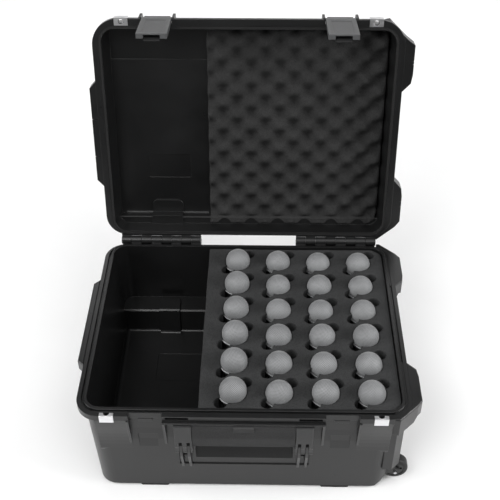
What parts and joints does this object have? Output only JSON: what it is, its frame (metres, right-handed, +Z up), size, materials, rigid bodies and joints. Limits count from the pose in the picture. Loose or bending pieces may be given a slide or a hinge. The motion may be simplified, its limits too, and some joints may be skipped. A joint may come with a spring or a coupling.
{
  "type": "microphone case",
  "caption": "Wheeled hard case, hinged lid open, with foam-pocketed handheld microphones beside a storage bay, twin pull latches, folding side handle and telescopic pull handle.",
  "frame": {"origin": "middle of the base shell's footprint at the height of the feet's underside", "axes": "+X along the long side from the pull-handle end to the wheel end, +Y from the folding-handle side to the hinge side, +Z up"},
  "size_m": [0.625, 0.6237, 0.7059],
  "materials": {
    "shell_plastic": "textured polypropylene copolymer",
    "lid_plastic": "textured polypropylene copolymer",
    "latch_plastic": "fine-textured nylon",
    "trigger_plastic": "fine-textured nylon",
    "handle_plastic": "fine-textured nylon",
    "grip_rubber": "overmoulded rubber",
    "foot_rubber": "matt rubber",
    "seal_rubber": "soft rubber seal",
    "case_foam": "open-cell polyurethane foam, charcoal",
    "lid_foam": "convoluted polyurethane foam, charcoal",
    "stainless": "brushed stainless steel",
    "pin_steel": "ground steel",
    "spring_steel": "spring wire",
    "screw_steel": "zinc-plated steel",
    "rail_aluminium": "anodised",
    "tyre_rubber": "polyurethane tyre",
    "hub_plastic": "moulded nylon",
    "mic_paint": "satin dark enamel",
    "mic_mesh": "woven steel mesh, matt",
    "mic_band": "satin metal band",
    "vent_plastic": "moulded nylon"
  },
  "bodies": {
    "base": {"base_shell": "shell_plastic", "base_feet": "foot_rubber", "base_padlock_plates": "stainless", "hinge_pins": "pin_steel", "mic_foam": "case_foam", "mic_bodies": "mic_paint", "mic_grilles": "mic_mesh", "mic_grille_bases": "mic_mesh", "mic_bands": "mic_band", "mic_switches": "vent_plastic", "vent_body": "vent_plastic", "vent_cap": "vent_plastic", "vent_nut": "vent_plastic", "pull_handle_sleeves": "rail_aluminium", "pull_handle_guides": "vent_plastic", "rail_cover": "shell_plastic", "rail_cover_bosses": "shell_plastic", "rail_cover_screws": "screw_steel", "wheel_axle_front": "pin_steel", "wheel_axle_rear": "pin_steel", "wheel_bracket_front": "hub_plastic", "wheel_bracket_rear": "hub_plastic", "front_handle_pins": "pin_steel"},
    "lid": {"lid_shell": "lid_plastic", "lid_foam": "lid_foam", "lid_gasket": "seal_rubber", "lid_padlock_plates": "stainless", "latch_pins": "pin_steel"},
    "latch_left": {"latch_cover_left": "latch_plastic", "trigger_pin_left": "pin_steel", "trigger_spring_left": "spring_steel"},
    "latch_right": {"latch_cover_right": "latch_plastic", "trigger_pin_right": "pin_steel", "trigger_spring_right": "spring_steel"},
    "trigger_left": {"latch_trigger_left": "trigger_plastic"},
    "trigger_right": {"latch_trigger_right": "trigger_plastic"},
    "front_handle": {"front_handle_frame": "handle_plastic", "front_handle_grip": "grip_rubber"},
    "pull_handle": {"pull_handle_tubes": "rail_aluminium", "pull_handle_grip": "handle_plastic", "button_springs": "spring_steel"},
    "pull_button": {"pull_handle_button": "trigger_plastic"},
    "wheel_front": {"wheel_tyre_front": "tyre_rubber", "wheel_hub_front": "hub_plastic", "wheel_bearings_front": "pin_steel"},
    "wheel_rear": {"wheel_tyre_rear": "tyre_rubber", "wheel_hub_rear": "hub_plastic", "wheel_bearings_rear": "pin_steel"}
  },
  "joints": [
    {"name": "lid_hinge", "type": "hinge", "parent": "base", "child": "lid", "pos_m": [0, 0.2366, 0.228], "axis": [-1, 0, 0], "range_deg": [-101.3, 0]},
    {"name": "latch_left_pivot", "type": "hinge", "parent": "lid", "child": "latch_left", "pos_m": [-0.1725, 0.3497, 0.68173], "axis": [-1, 0, 0], "range_deg": [0, 105]},
    {"name": "latch_right_pivot", "type": "hinge", "parent": "lid", "child": "latch_right", "pos_m": [0.1725, 0.3497, 0.68173], "axis": [-1, 0, 0], "range_deg": [0, 105]},
    {"name": "trigger_left_press", "type": "hinge", "parent": "latch_left", "child": "trigger_left", "pos_m": [-0.1725, 0.32219, 0.68699], "axis": [-1, 0, 0], "range_deg": [0, 3.6], "stiffness_Nm_per_rad": 0.3, "springref_deg": -4.58},
    {"name": "trigger_right_press", "type": "hinge", "parent": "latch_right", "child": "trigger_right", "pos_m": [0.1725, 0.32219, 0.68699], "axis": [-1, 0, 0], "range_deg": [0, 3.6], "stiffness_Nm_per_rad": 0.3, "springref_deg": -4.58},
    {"name": "front_handle_pivot", "type": "hinge", "parent": "base", "child": "front_handle", "pos_m": [0, -0.233, 0.131], "axis": [1, 0, 0], "range_deg": [0, 100]},
    {"name": "pull_handle_slide", "type": "slide", "parent": "base", "child": "pull_handle", "axis": [-1, 0, 0], "range_m": [0, 0.38]},
    {"name": "pull_button_press", "type": "slide", "parent": "pull_handle", "child": "pull_button", "axis": [1, 0, 0], "range_m": [0, 0.0016], "stiffness_N_per_m": 800, "springref_m": -0.001},
    {"name": "wheel_front_spin", "type": "hinge", "parent": "base", "child": "wheel_front", "pos_m": [0.284, -0.1895, 0.034], "axis": [0, 1, 0], "continuous": true},
    {"name": "wheel_rear_spin", "type": "hinge", "parent": "base", "child": "wheel_rear", "pos_m": [0.284, 0.1895, 0.034], "axis": [0, 1, 0], "continuous": true}
  ]
}
